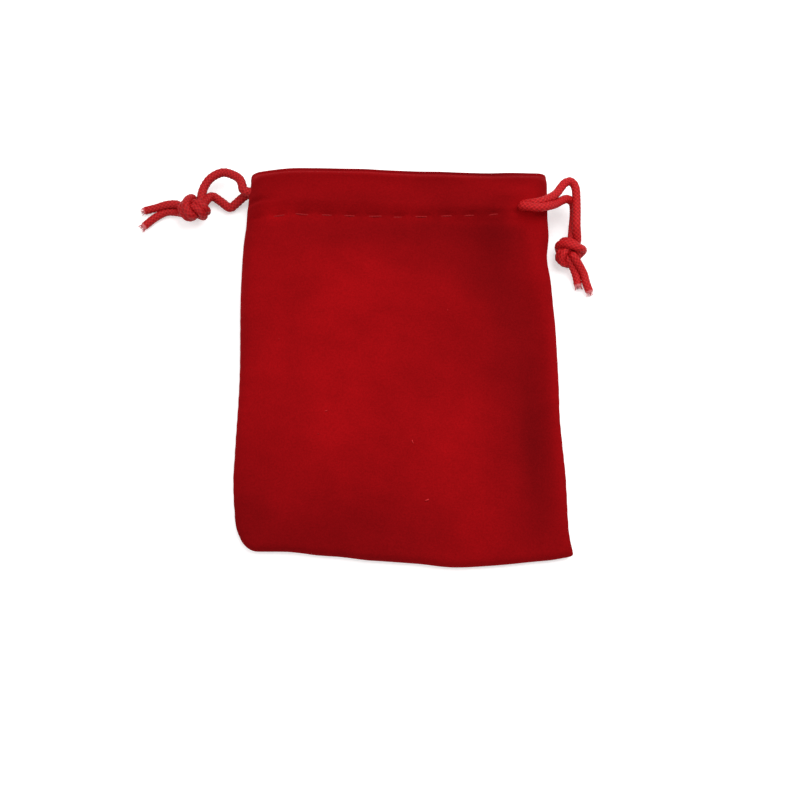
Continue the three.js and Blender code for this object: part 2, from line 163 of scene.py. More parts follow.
RIGHT_FRONT = [
    (13, -3.7, 5), (13.1, -0.4, 5.4), (13.1, 2.9, 5.8), (13, 4.6, 6.2), (12.6, 5.7, 6.5),
    (11.7, 6.3, 6.9), (10.5, 5.8, 7.2), (9.5, 4.5, 7.6), (8.5, 2.9, 8.2), (7.4, 1.7, 8.8), (6.2, 0.8, 9.4),
]
RIGHT_BACK = [
    (6.4, -1.2, 9.9), (8, 0.1, 8.1), (9.5, 1.5, 6.8), (11, 2.5, 5.6), (12.4, 2.2, 4.3), (12.7, 0.6, 3.4),
    (12.4, -2.9, 3.1),
]
RIGHT_KNOT = (12.75, -9.5)
RIGHT_TAIL_INNER = [(12.8, -14.6, 1.7), (13.3, -17.3, 1.25)]
RIGHT_TAIL_OUTER = [(14.5, -14.4, 2.2), (15.1, -16.6, 1.7), (15.9, -18.8, 1.25)]
SLIT_CLIMB = [(4.5, -0.3, 0.8), (3, -0.6, 0.8), (1.6, -0.5, 0.1), (0.3, -0.2, -1), (-1.5, 0.1, -1.8)]
SLIT_TURN = [
    (2.9, -0.4, -2.15), (1.6, -0.8, -1.6), (0.6, -1, -0.7), (0.3, -1.15, 0.1),
    (0.8, -1.5, 0.8), (1.7, -1.8, 1.3), (3, -2.1, 1.6), (4.6, -2, 1.4),
]
SLIT_FRONT = [(0.9, -0.2, 1.2), (2.8, -0.1, 2.2)]
SLIT_BACK = [(2.6, 0.1, -2.05), (0.7, 0.4, -1.5)]

# Braided cords
CORD_RADIUS = 0.97
CORD_SIDES = 48
BRAID_DEPTH = 0.13
BRAID_LAY = 5.6  # length in which a strand goes once round the cord
BRAID_STRANDS = 6  # strands that turn each way
SHOWN_STEP, HIDDEN_STEP = 0.1, 0.6  # spacing of the rings of a cord in the open and in the casing
# How much thicker the braid grows where nothing pulls on it
LEFT_SLACK = 0.1
RIGHT_SLACK = 0.05
SLACK_START, SLACK_FULL = 20, 40  # distances from the nearer end
# Cut ends: the edge's rounding, the share of the radius left at the very end, and where the yarn turns pale
TIP_ROUNDING = 0.4
TIP_SHARE = 0.6
PALE_FULL, PALE_END = 0.05, 0.6
# Loose filaments at each cut end: how many, how thick, and how far they reach
FRAY_COUNT = 44
FRAY_RADIUS = 0.05
FRAY_REACH = (0.2, 1.1)
FRAY_SPREAD = 0.8  # share of the cord's radius that they fill
FRAY_SPLAY = 0.6  # how far they lean out, as a share of their reach
FRAY_ROOT, FRAY_SINK = 0.6, 0.15  # how deep they are rooted: as a share of their reach, and beyond that
# Knots
LEFT_KNOT_HEADING = 11  # which way the strands run through each knot, in degrees from +X
RIGHT_KNOT_HEADING = -88
LEFT_KNOT_TILT = -45  # how far each knot has rolled over on the table, in degrees
RIGHT_KNOT_TILT = 25
LEFT_KNOT_UNIT = 1.8  # cord spacing inside the knots, where the cord is squeezed
RIGHT_KNOT_UNIT = 1.7
KNOT_GIRTH = 0.55  # cord radius inside the knots, in cord spacings
KNOT_PRESS = 0.88  # how much shorter the pull on the cord makes them
KNOT_REACH = 1.75  # how far along its leads the knot's own points are kept, in cord spacings
KNOT_MIDDLE = -2.2  # place of the knot's middle across the leads, in cord spacings
KNOT_REST = 0.15  # gap between a knot and the table
KNOT_INNER, KNOT_OUTER = 3, 6  # distances from a knot's middle between which the cord regains its girth
# Tying, in cord diameters
TIE_ROUNDS = 700
TIE_POINTS = 120  # on each strand
TIE_SPACING = 0.22  # of those points, once tight
TIE_TWIN = 0.8  # how close the two strands lie side by side
TIE_LEAD = 0.4  # place of the leads, either side of the middle
TIE_PULL = 0.06  # how far each lead is pulled in a round
TIE_SETTLE = 0.1  # share of the way that each lead goes back to its place in a round
TIE_STIFFNESS = 0.06
# Stitches
STITCH_PITCH = 5.4
STITCH_LENGTH = 3.2
STITCH_START = -33.2
STITCH_COUNT = 11
STITCH_ARCH, STITCH_SINK = 0.3, 0.24  # how far a stitch bulges, and how deep its ends lie
THREAD_RADIUS = 0.16
# Fine relief: the stitched row's valley and its beat, puckers along the sides, grooves of the side seams
VALLEY_DEPTH, VALLEY_WIDTH = 0.34, 0.6
BEAT_DEPTH, BEAT_REACH = 0.1, 2.2
PUCKER_PITCH, PUCKER_DEPTH, PUCKER_REACH = 4.7, 0.13, 3
SEAM_PITCH, SEAM_DEPTH, SEAM_WIDTH = 3.1, 0.4, 0.55
# Creases where the cords leave: place across and above the stitching, heading, half length, half width, depth
CREASES = [
    (-1, LEFT_LANE - 3.9, -3, 4.6, 0.7, 1),
    (-0.97, LEFT_LANE + 1.9, 8, 3, 1.1, -0.1),
    (0.8, RIGHT_LANE - 0.9, 0, 3, 1.7, 0.35),
    (0.83, RIGHT_LANE - 3.7, -4, 5.5, 0.8, 0.1),
    (0.76, RIGHT_LANE + 2.2, 12, 4, 1.4, -0.4),
]
# Stray fibres caught in the pile: place across and along, half length and half thickness
LINT_PLACES = [
    (0.16, 0.149, 0.45, 0.17),
    (0.081, 0.285, 0.38, 0.13),
    (-0.437, 0.345, 0.32, 0.09),
    (-0.741, 0.53, 0.22, 0.035),
    (-0.483, 0.287, 0.22, 0.035),
    (0.314, 0.62, 0.22, 0.035),
]

# Rows and columns of the bag's mesh
BACK_COLUMNS, FRONT_COLUMNS = 76, 204
BODY_ROWS, CASING_ROWS = 132, 70
INNER_BODY_ROWS, INNER_CASING_ROWS = 32, 26
FOLD_ROWS = 9

# Points of each panel in a cord's lap round the casing
LANE_COLUMNS = 26

# Scales of the noise in the materials
PILE_DRIFT, PILE_GRAIN = 90, 2600
YARN_FIBRE, THREAD_PLY, LINT_FIBRE = 5200, 900, 2000

# Table in millimetres, and the strengths of its glow and of the light all round
TABLE_HALF = 560
TABLE_LEVEL = -0.05
TABLE_GLOW = 0.42
SKY_LIGHT = 0.45
# Camera that fits the photo, in degrees and millimetres, with its focal length in pixels of the frame
CAMERA_ELEVATION = 72
CAMERA_DISTANCE = 350
CAMERA_TARGET = (-0.4, -8.9, 4)
FRAME_PIXELS = 800
FOCAL_PIXELS = 1585
SENSOR_WIDTH = 36
# Lamps: name, place and width in metres, power in watts
KEY_LAMP = ("key", (0.3, 0.3, 0.75), 0.8, 7)
FILL_LAMP = ("fill", (-0.45, -0.2, 0.7), 0.8, 3)


def along(stops, place):
    """Smooth curve through [place, value] stops."""
    stops = np.asarray(stops, float)
    place = np.asarray(place, float)
    i = np.clip(np.searchsorted(stops[:, 0], place, side="left") - 1, 0, len(stops) - 2)
    a, b = stops[i], stops[i + 1]
    before = stops[np.maximum(i - 1, 0)]
    after = stops[np.minimum(i + 2, len(stops) - 1)]
    span = b[..., 0] - a[..., 0]
    slope_a = (b[..., 1] - before[..., 1]) / (b[..., 0] - before[..., 0]) * span
    slope_b = (after[..., 1] - a[..., 1]) / (after[..., 0] - a[..., 0]) * span
    t = (place - a[..., 0]) / span
    rise = t * t * (3 - 2 * t)
    return a[..., 1] + (b[..., 1] - a[..., 1]) * rise + t * (1 - t) * ((1 - t) * slope_a - t * slope_b)


def smoothstep(x, low, high):
    t = np.clip((np.asarray(x, float) - low) / (high - low), 0, 1)
    return t * t * (3 - 2 * t)


def lerp(a, b, t):
    return a + (b - a) * t


def round_over(distance, reach):
    """Quarter-round: 0 at an edge, 1 once `reach` away from it."""
    t = np.clip(1 - distance / reach, 0, 1)
    return np.sqrt(1 - t * t)


def unit_rows(vectors):
    return vectors / np.linalg.norm(vectors, axis=1, keepdims=True)


# Plan: u runs from the left side (-1) to the right side (1), d is the distance up from the bottom fold

def left_x(d):
    corner = LEFT_CORNER_WIDTH * (1 - round_over(d, LEFT_CORNER_HEIGHT))
    flare = LIP_FLARE * smoothstep(d, BAG_LENGTH - LIP_FLARE_START, BAG_LENGTH - LIP_FLARE_FULL)
    ease = along(LEFT_EASE, np.minimum(d / BAG_LENGTH, LEFT_EASE[-1][0]))
    return -BAG_WIDTH / 2 + along(LEFT_SIDE, d / BAG_LENGTH) + corner - flare - ease


def right_x(d):
    corner = RIGHT_CORNER_RADIUS * (1 - round_over(d, RIGHT_CORNER_RADIUS))
    ease = along(RIGHT_EASE, np.minimum(d / BAG_LENGTH, RIGHT_EASE[-1][0]))
    return BAG_WIDTH / 2 - along(RIGHT_SIDE, d / BAG_LENGTH) - corner + ease


def plan_x(u, d):
    return lerp(left_x(d), right_x(d), (u + 1) / 2)


def plan_y(u, d):
    mouth = BAG_LENGTH - along(MOUTH_EDGE, u)
    lip = along(LIP_RISE, u) * smoothstep(d, BAG_LENGTH - LIP_REACH, BAG_LENGTH)
    ease = along(BOTTOM_EASE, u) * (1 - smoothstep(d, 0, BOTTOM_EASE_REACH))
    return lerp(along(BOTTOM_FOLD, u), mouth, d / BAG_LENGTH) + lip + ease - BAG_LENGTH / 2


def soft_spot(x, y, across, up, heading, half_length, half_width):
    """Bell-shaped patch of the panel, 1 in its middle, which lies at a place across and a distance up."""
    dx, dy = x - plan_x(across, up), y - plan_y(across, up)
    turn = math.radians(heading)
    lengthwise = (dx * math.cos(turn) + dy * math.sin(turn)) / half_length
    sideways = (dy * math.cos(turn) - dx * math.sin(turn)) / half_width
    return np.exp(-(lengthwise**2) - sideways**2)


def channel_share(d):
    """How far the cords hold the casing open: 0 at the stitching, 1 along the cords, less at the mouth."""
    height = d - STITCH_ROW
    opened = smoothstep(height, 0.2, RIGHT_LANE - 0.8)
    return opened * (1 - 0.8 * smoothstep(height, LEFT_LANE + CHANNEL_DEPTH / 2, HEM_DEPTH))


def wall(d):
    """Thickness of one panel with its hem and cord channel."""
    return CLOTH * (1 + smoothstep(d, STITCH_ROW - 2.5, STITCH_ROW - 0.5)) + CHANNEL_DEPTH * channel_share(d)


def side_edge(d):
    """Thickness at the side seams, which the stiff casing lifts for some way below it."""
    height = d - STITCH_ROW
    lifted = NECK_LIFT * smoothstep(d, 0.3 * BAG_LENGTH, STITCH_ROW)
    lifted = lifted + (1 - NECK_LIFT) * smoothstep(height, -1, RIGHT_LANE - 0.6)
    return SEAM_EDGE + 2 * CHANNEL_DEPTH * lifted * (1 - 0.8 * smoothstep(height, LEFT_LANE + 1.3, HEM_DEPTH))


def opening(d):
    """How far the front panel stands clear of the back one in the middle."""
    return along(
        [
            [0, 0],
            [0.06 * BAG_LENGTH, 0.2 * BELLY_OPENING],
            [0.28 * BAG_LENGTH, 0.85 * BELLY_OPENING],
            [0.5 * BAG_LENGTH, BELLY_OPENING],
            [STITCH_ROW - 1, NECK_OPENING],
            [STITCH_ROW + RIGHT_LANE - 1, MOUTH_OPENING],
            [STITCH_ROW + LEFT_LANE, MOUTH_OPENING],
            [BAG_LENGTH, MOUTH_OPENING + CASING_WALL - wall(BAG_LENGTH)],
        ],
        d,
    )


def hollow(u, d):
    """Depth of the front panel's soft hollows."""
    x, y = plan_x(u, d), plan_y(u, d)
    depth = 0
    for across, up, *shape, deep in HOLLOWS:
        depth = depth + deep * soft_spot(x, y, across, up * BAG_LENGTH, *shape)
    inside = smoothstep(1 - np.abs(u), 0, 0.14) * smoothstep(d, 0, 6)
    return depth * inside * (1 - smoothstep(d, STITCH_ROW - 3, STITCH_ROW + 2))


def painted_light_and_pile(u, d):
    """Painted light and shade on the front panel, partly the lie of the pile: 0 darkest, 1 lightest."""
    x, y = plan_x(u, d), plan_y(u, d)
    light_and_pile = 0.5
    for across, up, *shape, strength in PAINTED_LIGHT_PATCHES:
        light_and_pile = light_and_pile + strength * soft_spot(x, y, across, up * BAG_LENGTH, *shape)
    return np.clip(light_and_pile, 0, 1)


def thickness(u, d):
    """Height of the front panel's outer face."""
    dome = (1 - u * u) * (1 + DOME_SKEW * u)
    return side_edge(d) + opening(d) * dome - hollow(u, d)


def outer_point(u, d, front):
    """Point of the outer face of either panel."""
    u, d, front = np.broadcast_arrays(np.asarray(u, float), np.asarray(d, float), front)
    half = side_edge(d) / 2
    from_side = (1 - np.abs(u)) * (right_x(d) - left_x(d)) / 2
    lift = half * (1 - round_over(from_side, half) * round_over(d, SEAM_EDGE / 2))
    z = np.where(front, thickness(u, d) - lift, lift)
    return np.stack([plan_x(u, d), plan_y(u, d), z], -1)


def inner_point(u, d, front):
    """Point of the inner face, set in by the seam allowances, the casing or the lip."""
    u, d, front = np.broadcast_arrays(np.asarray(u, float), np.asarray(d, float), front)
    inset = lerp(SEAM_ALLOWANCE, HEM_END, smoothstep(d, STITCH_ROW - 6, STITCH_ROW))
    inset = lerp(inset, LIP_CORNER, smoothstep(d, BAG_LENGTH - 6, BAG_LENGTH - 1))
    width = right_x(d) - left_x(d)
    inward = u * (width - 2 * inset) / width
    thick = thickness(inward, d)
    from_side = (1 - np.abs(u)) * (width - 2 * inset) / 2
    spread = round_over(from_side, CLOTH) * round_over(d - CAVITY_FLOOR, CLOTH)
    z = thick / 2 + np.where(front, 1, -1) * (thick - 2 * wall(d)) * spread / 2
    return np.stack([plan_x(inward, d), plan_y(inward, d), z], -1)


def ring_places(across_back, across_front):
    """Places across of a ring: along the back from left to right, then along the front to the left."""
    def spaced(count):
        """Places from -1 to 1 that crowd towards both sides."""
        w = np.linspace(-1, 1, count + 1)[:-1]
        return 0.35 * w + 0.65 * np.sin(math.pi / 2 * w)
    u = np.concatenate([spaced(across_back), -spaced(across_front)])
    front = np.concatenate([np.zeros(across_back, bool), np.ones(across_front, bool)])
    return u, front


def evenly(points, count):
    """The same polyline with evenly spaced points."""
    run = np.concatenate([[0], np.cumsum(np.linalg.norm(np.diff(points, axis=0), axis=1))])
    places = np.linspace(0, run[-1], count)
    return np.stack([np.interp(places, run, points[:, k]) for k in range(3)], 1)


def smooth_curve(points, per_span):
    """Centripetal Catmull-Rom curve through points, as a dense polyline."""
    p = np.asarray(points, float)
    p = np.concatenate([[2 * p[0] - p[1]], p, [2 * p[-1] - p[-2]]])
    knots = np.concatenate([[0], np.cumsum(np.sqrt(np.linalg.norm(np.diff(p, axis=0), axis=1)))])
    made = []
    for i in range(1, len(p) - 2):
        k0, k1, k2, k3 = knots[i - 1:i + 3]
        t = np.linspace(k1, k2, per_span, endpoint=False)[:, None]
        a1 = (k1 - t) / (k1 - k0) * p[i - 1] + (t - k0) / (k1 - k0) * p[i]
        a2 = (k2 - t) / (k2 - k1) * p[i] + (t - k1) / (k2 - k1) * p[i + 1]
        a3 = (k3 - t) / (k3 - k2) * p[i + 1] + (t - k2) / (k3 - k2) * p[i + 2]
        b1 = (k2 - t) / (k2 - k0) * a1 + (t - k0) / (k2 - k0) * a2
        b2 = (k3 - t) / (k3 - k1) * a2 + (t - k1) / (k3 - k1) * a3
        made.append((k2 - t) / (k2 - k1) * b1 + (t - k1) / (k2 - k1) * b2)
    return np.concatenate(made + [p[-2:-1]])


def make_object(name, vertices, faces, materials, face_slots=None):
    """Smooth-shaded mesh object from vertices in millimetres."""
    mesh = bpy.data.meshes.new(name)
    mesh.from_pydata((np.asarray(vertices) * MM).tolist(), [], faces)
    for material in materials:
        mesh.materials.append(material)
    if face_slots is not None:
        mesh.polygons.foreach_set("material_index", face_slots)
    mesh.polygons.foreach_set("use_smooth", [True] * len(mesh.polygons))
    mesh.update()
    obj = bpy.data.objects.new(name, mesh)
    bpy.context.scene.collection.objects.link(obj)
    return obj


def grid_faces(rows, size):
    """Quads over rows of a ring, facing out when rows run along +Y."""
    j = np.arange(rows - 1)[:, None]
    k = np.arange(size)[None, :]
    above, following = j + 1, (k + 1) % size
    quads = np.stack([j * size + k, above * size + k, above * size + following, j * size + following], -1)
    return quads.reshape(-1, 4)


# Materials

def new_material(name, colour, roughness):
    material = bpy.data.materials.new(name)
    material.use_nodes = True
    shader = material.node_tree.nodes["Principled BSDF"]
    shader.inputs["Base Color"].default_value = (*colour, 1)
    shader.inputs["Roughness"].default_value = roughness
    return material, material.node_tree, shader


def add_node(tree, kind, **values):
    node = tree.nodes.new(kind)
    for key, value in values.items():
        if hasattr(node, key):
            setattr(node, key, value)
        else:
            node.inputs[key.replace("_", " ")].default_value = value
    return node


def noise(tree, coordinates, scale, detail=3.0, roughness=0.6):
    node = add_node(tree, "ShaderNodeTexNoise", Scale=scale, Detail=detail, Roughness=roughness)
    tree.links.new(coordinates, node.inputs["Vector"])
    return node.outputs["Fac"]


def ramp(tree, factor, stops):
    node = add_node(tree, "ShaderNodeValToRGB")
    while len(node.color_ramp.elements) < len(stops):
        node.color_ramp.elements.new(0.5)
    for element, (place, colour) in zip(node.color_ramp.elements, stops):
        element.position = place
        element.color = (*colour, 1)
    tree.links.new(factor, node.inputs["Fac"])
    return node.outputs["Color"]


def blend_colours(tree, kind, factor, a, b):
    node = tree.nodes.new("ShaderNodeMix")
    node.data_type = "RGBA"
    node.blend_type = kind
    for value, key in ((factor, 0), (a, 6), (b, 7)):
        if isinstance(value, bpy.types.NodeSocket):
            tree.links.new(value, node.inputs[key])
        else:
            node.inputs[key].default_value = value
    return node.outputs[2]


def add_bump(tree, shader, heights, strength, distance):
    node = add_node(tree, "ShaderNodeBump", Strength=strength, Distance=distance)
    tree.links.new(heights, node.inputs["Height"])
    tree.links.new(node.outputs["Normal"], shader.inputs["Normal"])


def velvet_material(name, dark, light, sheen):
    """Short cut pile: soft shading, painted light and shade along the panel (partly the lie of the pile),
    colour that drifts at random, and a fine grain.
    """
    material, tree, shader = new_material(name, light, 0.95)
    place = tree.nodes.new("ShaderNodeTexCoord").outputs["Object"]
    light_and_pile = add_node(tree, "ShaderNodeAttribute", attribute_name="painted_light_and_pile").outputs["Fac"]
    drift = noise(tree, place, PILE_DRIFT, 3.0, 0.55)
    grain = noise(tree, place, PILE_GRAIN, 2.0, 0.6)
    tone = ramp(tree, light_and_pile, [(0.0, dark), (1.0, light)])
    cloudy = ramp(tree, drift, [(0.3, (0.9, 0.9, 0.9)), (0.7, (1.08, 1.08, 1.08))])
    tone = blend_colours(tree, "MULTIPLY", 1.0, tone, cloudy)
    speckle = ramp(tree, grain, [(0.3, (0.87, 0.87, 0.87)), (0.7, (1.1, 1.1, 1.1))])
    colour = blend_colours(tree, "MULTIPLY", 1.0, tone, speckle)
    tree.links.new(colour, shader.inputs["Base Color"])
    shader.inputs["Specular IOR Level"].default_value = 0.02
    shader.inputs["Sheen Weight"].default_value = sheen
    shader.inputs["Sheen Roughness"].default_value = 0.5
    shader.inputs["Sheen Tint"].default_value = (1.0, 0.02, 0.03, 1)
    add_bump(tree, shader, grain, 0.24, 0.0003)
    return material


def cord_material(name, painted_light_gain):
    """Braided cord: painted highlights on the yarn crowns, painted shade in the gaps between the strands,
    pale frayed ends.
    """
    material, tree, shader = new_material(name, (0.4, 0.006, 0.008), 0.55)
    groove = add_node(tree, "ShaderNodeAttribute", attribute_name="groove").outputs["Fac"]
    frayed = add_node(tree, "ShaderNodeAttribute", attribute_name="frayed").outputs["Fac"]
    place = tree.nodes.new("ShaderNodeTexCoord").outputs["Object"]
    fibre = noise(tree, place, YARN_FIBRE, 2.0, 0.6)
    # Painted highlight on the strands' crowns and painted shade in the gaps, set by the braid's depth
    braid_highlight_and_shade = [
        (0.0, (0.62, 0.026, 0.028)),
        (0.2, (0.43, 0.007, 0.009)),
        (0.6, (0.36, 0.0055, 0.0075)),
        (1.0, (0.21, 0.002, 0.003)),
    ]
    tone = ramp(tree, groove, [(stop, [painted_light_gain * v for v in colour]) for stop, colour in braid_highlight_and_shade])
    speckle = ramp(tree, fibre, [(0.3, (0.8, 0.8, 0.8)), (0.7, (1.15, 1.15, 1.15))])
    yarn = blend_colours(tree, "MULTIPLY", 1.0, tone, speckle)
    colour = blend_colours(tree, "MIX", frayed, yarn, (0.6, 0.16, 0.17, 1))
    tree.links.new(colour, shader.inputs["Base Color"])
    shader.inputs["Specular IOR Level"].default_value = 0.13
    add_bump(tree, shader, fibre, 0.3, 0.0002)
    return material


def thread_material():
    """Twisted sewing thread."""
    material, tree, shader = new_material("sewing_thread", (0.28, 0.014, 0.016), 0.7)
    place = tree.nodes.new("ShaderNodeTexCoord").outputs["Object"]
    ply = add_node(tree, "ShaderNodeTexWave", Scale=THREAD_PLY, Distortion=1.5)
    ply.bands_direction = "DIAGONAL"
    tree.links.new(place, ply.inputs["Vector"])
    tint = ramp(tree, ply.outputs["Fac"], [(0.0, (0.22, 0.008, 0.0095)), (1.0, (0.28, 0.014, 0.016))])
    tree.links.new(tint, shader.inputs["Base Color"])
    shader.inputs["Specular IOR Level"].default_value = 0.03
    add_bump(tree, shader, ply.outputs["Fac"], 0.3, 0.0001)
    return material


def lint_material():
    """Loose red fibre, a little brighter than the pile."""
    material, tree, shader = new_material("lint", (0.47, 0.021, 0.024), 0.9)
    place = tree.nodes.new("ShaderNodeTexCoord").outputs["Object"]
    fibre = noise(tree, place, LINT_FIBRE)
    tint = ramp(tree, fibre, [(0.3, (0.41, 0.016, 0.018)), (0.7, (0.53, 0.026, 0.03))])
    tree.links.new(tint, shader.inputs["Base Color"])
    shader.inputs["Specular IOR Level"].default_value = 0.03
    return material


LINT = lint_material()
# Velvet's colour at the darkest and lightest ends of its painted light and shade
VELVET = velvet_material("red_velvet", (0.12, 0.0015, 0.0024), (0.297, 0.0026, 0.0042), 0.25)
VELVET_BACK = velvet_material("velvet_reverse", (0.15, 0.003, 0.005), (0.22, 0.005, 0.008), 0.05)
# Both cords are the same braid: the left is painted darker and the right lighter, as painted light and shade
LEFT_BRAID = cord_material("left_braid", 0.88)
RIGHT_BRAID = cord_material("right_braid", 1.06)
THREAD = thread_material()


# Bag

def buried_ring(d, depth, places):
    """Ring at a depth below the outer face, measured square to the face."""
    u, front = places
    skin = outer_point(u, d, front)
    step = np.roll(skin, -1, 0) - np.roll(skin, 1, 0)
    outward = np.stack([step[:, 2], np.zeros(len(u)), -step[:, 0]], -1)
    return skin - unit_rows(outward) * depth


def ripple(x, y):
    """Slow unevenness of limp cloth."""
    waves = np.sin(0.31 * x + 0.17 * y + 0.4) + np.sin(0.12 * x - 0.36 * y + 2.1)
    return 0.11 * waves + 0.07 * np.sin(0.55 * x + 0.62 * y + 1.3) * np.sin(0.43 * y - 0.2 * x)


def cloth_point(u, d, front):
    """Outer face with its fine relief: stitch valley, puckers, side seams and creases at the cords."""
    point = outer_point(u, d, front)
    x, y = point[:, 0].copy(), point[:, 1]
    half = side_edge(d) / 2
    from_side = (1 - np.abs(u)) * (right_x(d) - left_x(d)) / 2
    height = d - STITCH_ROW - along(STITCH_DRIFT, u)
    beat = np.cos(2 * math.pi * (x - STITCH_START) / STITCH_PITCH)
    inward = VALLEY_DEPTH * np.exp(-((height / VALLEY_WIDTH) ** 2)) * (0.6 + 0.4 * beat)
    inward = inward + BEAT_DEPTH * beat * np.exp(-abs(height) / BEAT_REACH)
    pucker = np.sin(2 * math.pi * d / PUCKER_PITCH + 0.8 * np.sin(0.21 * d)) * smoothstep(d, 3, 12)
    slack = PUCKER_DEPTH * pucker * np.exp(-from_side / PUCKER_REACH) + ripple(x, y) * smoothstep(d, 0, 8)
    inward = inward + np.where(front, slack, 0)
    for across, above, *shape, depth in CREASES:
        inward = inward + np.where(front, depth * soft_spot(x, y, across, STITCH_ROW + above, *shape), 0)
    point[:, 2] += np.where(front, -1, 1) * inward * round_over(from_side, half)
    point[:, 2] = np.maximum(point[:, 2], 0)
    arc = half * np.arccos(np.clip(1 - from_side / half, -1, 1))
    stitched = 0.75 + 0.25 * math.cos(2 * math.pi * d / SEAM_PITCH)
    groove = SEAM_DEPTH * np.exp(-((arc / SEAM_WIDTH) ** 2)) * stitched * smoothstep(d, 1.5, 6)
    point[:, 0] -= np.sign(u) * groove
    return point


def bag_rows():
    """Distances up from the bottom of the outer and inner rows, and where the lip's fold starts."""
    fold_radius = wall(BAG_LENGTH) / 2
    top = BAG_LENGTH - fold_radius
    quarter = 1 - np.cos(np.linspace(0, math.pi / 2, FOLD_ROWS)[:-1])
    casing_foot = STITCH_ROW - 4
    outside = np.concatenate([
        quarter * SEAM_EDGE / 2,
        np.linspace(SEAM_EDGE / 2, casing_foot, BODY_ROWS)[:-1],
        np.linspace(casing_foot, top, CASING_ROWS)[:-1],
    ])
    inside = np.concatenate([
        CAVITY_FLOOR + quarter[::2] * CLOTH,
        np.linspace(CAVITY_FLOOR + CLOTH, casing_foot, INNER_BODY_ROWS)[:-1],
        np.linspace(casing_foot, top, INNER_CASING_ROWS)[:-1],
    ])
    return outside, inside, top, fold_radius


def make_bag():
    """Outer face up to the mouth, over the lip's fold and down the inner face, as one shell."""
    u, front = ring_places(BACK_COLUMNS, FRONT_COLUMNS)
    outside, inside, top, fold_radius = bag_rows()
    rows = [cloth_point(u, d, front) for d in outside]
    outer_top, inner_top = cloth_point(u, top, front), inner_point(u, top, front)
    angles = np.linspace(0, math.pi / 2, FOLD_ROWS)
    lift = np.array([0, fold_radius, 0])
    for angle in angles:
        rows.append(lerp(outer_top, inner_top, (1 - math.cos(angle)) / 2) + lift * math.sin(angle))
    for angle in angles[-2::-1]:
        rows.append(lerp(inner_top, outer_top, (1 - math.cos(angle)) / 2) + lift * math.sin(angle))
    inner_start = len(rows)
    rows += [inner_point(u, d, front) for d in inside[::-1]]
    faces = grid_faces(len(rows), len(u))
    depth_of_row = np.concatenate([np.full(inner_start, BAG_LENGTH), inside[::-1]])
    slots = (depth_of_row[faces[:, 0] // len(u)] < STITCH_ROW - 2).astype(int)
    bag = make_object("velvet_bag", np.concatenate(rows), faces.tolist(), [VELVET, VELVET_BACK], slots)
    # Painted light and shade of each row: the lip's fold takes that of the mouth edge, the inside an even
    # middle value
    light_and_pile_rows = [painted_light_and_pile(u, d) for d in outside] + [painted_light_and_pile(u, BAG_LENGTH)] * (inner_start - len(outside))
    light_and_pile_rows += [np.full(len(u), 0.5)] * len(inside)
    bag.data.attributes.new("painted_light_and_pile", "FLOAT", "POINT").data.foreach_set("value", np.concatenate(light_and_pile_rows))
    weld = bag.modifiers.new("weld", "WELD")
    weld.merge_threshold = 1e-6
    return bag


def corner_angles(sides):
    return np.arange(sides) * 2 * math.pi / sides


def capped_tube(path, across, upward, radius):
    """Vertices and faces of a closed tube, from the radius at each corner of each ring."""
    sides = radius.shape[1]
    angle = corner_angles(sides)
    around = across[:, None] * np.cos(angle)[None, :, None] + upward[:, None] * np.sin(angle)[None, :, None]
    points = path[:, None] + around * radius[:, :, None]
    faces = grid_faces(len(path), sides)[:, ::-1].tolist()
    last = (len(path) - 1) * sides
    faces += [list(range(sides)), list(range(last + sides - 1, last - 1, -1))]
    return points.reshape(-1, 3), faces


def tube(path, radius, sides):
    """The same for a thin round tube, tapered at both ends."""
    tangent = unit_rows(np.gradient(path, axis=0))
    across = unit_rows(np.cross(tangent, [0.2, 0.1, 1.0]))
    taper = np.ones((len(path), sides))
    taper[[0, -1]] = 0.4
    return capped_tube(path, across, np.cross(tangent, across), radius * taper)


def join_tubes(name, tubes, material):
    """One object from the vertices and faces of many tubes."""
    vertices, faces, start = [], [], 0
    for points, own in tubes:
        vertices.append(points)
        faces += [[start + i for i in face] for face in own]
        start += len(points)
    return make_object(name, np.concatenate(vertices), faces, [material])


def face_point(x, d, front):
    """Point of the outer face at a distance across in millimetres."""
    u = (x - left_x(d)) / (right_x(d) - left_x(d)) * 2 - 1
    return cloth_point(np.array([u]), d, np.array([front]))[0]


def make_stitches():
    """Sewn row on both panels, each stitch sunk at its ends."""
    draw = np.random.default_rng(7)
    tubes = []
    for front in (True, False):
        for i in range(1, STITCH_COUNT + 1):
            start = STITCH_START + STITCH_PITCH * i + draw.uniform(-0.25, 0.25)
            length = STITCH_LENGTH + draw.uniform(-0.6, 0.4)
            slant = draw.uniform(-0.3, 0.3)
            sunk = draw.uniform(-0.1, 0.03)
            if front and start + length > right_exit[0] - 2:
                continue
            path = []
            for t in np.linspace(0, 1, 9):
                x = start + length * (t - 0.5)
                drift = along(STITCH_DRIFT, x / (BAG_WIDTH / 2))
                point = face_point(x, STITCH_ROW + drift + slant * (t - 0.5), front)
                rise = sunk + STITCH_ARCH * math.sin(math.pi * t) ** 0.7 - STITCH_SINK
                point[2] += (1 if front else -1) * rise
                point[2] = max(point[2], THREAD_RADIUS + 0.02)
                path.append(point)
            tubes.append(tube(np.array(path), THREAD_RADIUS, 8))
    return join_tubes("stitches", tubes, THREAD)


